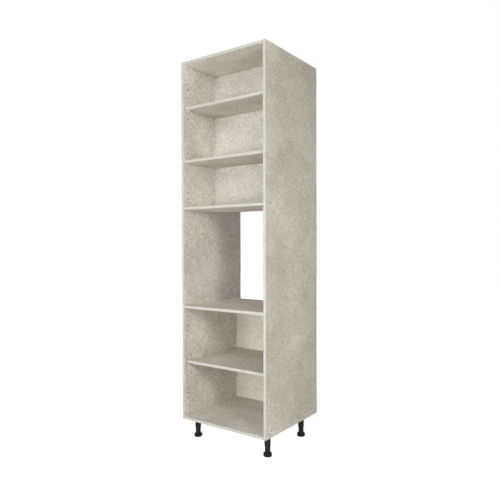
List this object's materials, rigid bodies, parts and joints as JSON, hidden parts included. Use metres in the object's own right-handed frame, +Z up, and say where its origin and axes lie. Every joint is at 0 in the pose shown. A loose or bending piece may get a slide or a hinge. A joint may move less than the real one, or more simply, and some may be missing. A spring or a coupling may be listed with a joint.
{
  "type": "tall oven housing unit",
  "caption": "Tall kitchen housing for a built-in oven: open-fronted stone-effect carcass with adjustable shelves over and under the oven bay, on black screw-adjustable legs.",
  "frame": {"origin": "on the floor, under the middle of the carcass footprint", "axes": "+X to the right seen from the open front, +Y to the back, +Z up; the open front faces -Y"},
  "size_m": [0.6, 0.56, 2.232],
  "materials": {
    "stone_effect_board": "particleboard faced with a matt printed stone-effect melamine film",
    "back_board": "thin particleboard back with the same matt stone-effect facing",
    "edging": "pale satin ABS edging",
    "leg_plastic": "black moulded polypropylene, slightly glossy",
    "pin_steel": "bright zinc-plated steel",
    "dowel_beech": "plain beech, hidden in the joints"
  },
  "bodies": {
    "carcass": {"left_side_panel": "stone_effect_board", "right_side_panel": "stone_effect_board", "top_panel": "stone_effect_board", "above_oven_shelf": "stone_effect_board", "oven_deck": "stone_effect_board", "base_panel": "stone_effect_board", "upper_back": "back_board", "lower_back": "back_board", "left_side_edging": "edging", "right_side_edging": "edging", "top_edging": "edging", "above_oven_edging": "edging", "oven_deck_edging": "edging", "base_edging": "edging", "upper_shelf_high_pin_front_left": "pin_steel", "upper_shelf_high_pin_rear_left": "pin_steel", "upper_shelf_high_pin_front_right": "pin_steel", "upper_shelf_high_pin_rear_right": "pin_steel", "upper_shelf_low_pin_front_left": "pin_steel", "upper_shelf_low_pin_rear_left": "pin_steel", "upper_shelf_low_pin_front_right": "pin_steel", "upper_shelf_low_pin_rear_right": "pin_steel", "lower_shelf_pin_front_left": "pin_steel", "lower_shelf_pin_rear_left": "pin_steel", "lower_shelf_pin_front_right": "pin_steel", "lower_shelf_pin_rear_right": "pin_steel", "top_panel_dowel_front_left": "dowel_beech", "top_panel_dowel_rear_left": "dowel_beech", "top_panel_dowel_front_right": "dowel_beech", "top_panel_dowel_rear_right": "dowel_beech", "above_oven_shelf_dowel_front_left": "dowel_beech", "above_oven_shelf_dowel_rear_left": "dowel_beech", "above_oven_shelf_dowel_front_right": "dowel_beech", "above_oven_shelf_dowel_rear_right": "dowel_beech", "oven_deck_dowel_front_left": "dowel_beech", "oven_deck_dowel_rear_left": "dowel_beech", "oven_deck_dowel_front_right": "dowel_beech", "oven_deck_dowel_rear_right": "dowel_beech", "base_panel_dowel_front_left": "dowel_beech", "base_panel_dowel_rear_left": "dowel_beech", "base_panel_dowel_front_right": "dowel_beech", "base_panel_dowel_rear_right": "dowel_beech", "leg_socket_front_left": "leg_plastic", "leg_socket_rear_left": "leg_plastic", "leg_socket_front_right": "leg_plastic", "leg_socket_rear_right": "leg_plastic", "leg_tube_front_left": "leg_plastic", "leg_tube_rear_left": "leg_plastic", "leg_tube_front_right": "leg_plastic", "leg_tube_rear_right": "leg_plastic"},
    "high_shelf": {"upper_shelf_high": "stone_effect_board", "upper_shelf_high_edging": "edging"},
    "low_shelf": {"upper_shelf_low": "stone_effect_board", "upper_shelf_low_edging": "edging"},
    "bottom_shelf": {"lower_shelf": "stone_effect_board", "lower_shelf_edging": "edging"},
    "front_left_foot": {"foot_front_left": "leg_plastic"},
    "rear_left_foot": {"foot_rear_left": "leg_plastic"},
    "front_right_foot": {"foot_front_right": "leg_plastic"},
    "rear_right_foot": {"foot_rear_right": "leg_plastic"}
  },
  "joints": [
    {"name": "high_shelf_slide", "type": "slide", "parent": "carcass", "child": "high_shelf", "axis": [0, -1, 0], "range_m": [0, 0.3]},
    {"name": "low_shelf_slide", "type": "slide", "parent": "carcass", "child": "low_shelf", "axis": [0, -1, 0], "range_m": [0, 0.3]},
    {"name": "bottom_shelf_slide", "type": "slide", "parent": "carcass", "child": "bottom_shelf", "axis": [0, -1, 0], "range_m": [0, 0.52]},
    {"name": "front_left_foot_screw", "type": "slide", "parent": "carcass", "child": "front_left_foot", "axis": [0, 0, -1], "range_m": [0, 0.03]},
    {"name": "rear_left_foot_screw", "type": "slide", "parent": "carcass", "child": "rear_left_foot", "axis": [0, 0, -1], "range_m": [0, 0.03]},
    {"name": "front_right_foot_screw", "type": "slide", "parent": "carcass", "child": "front_right_foot", "axis": [0, 0, -1], "range_m": [0, 0.03]},
    {"name": "rear_right_foot_screw", "type": "slide", "parent": "carcass", "child": "rear_right_foot", "axis": [0, 0, -1], "range_m": [0, 0.03]}
  ]
}
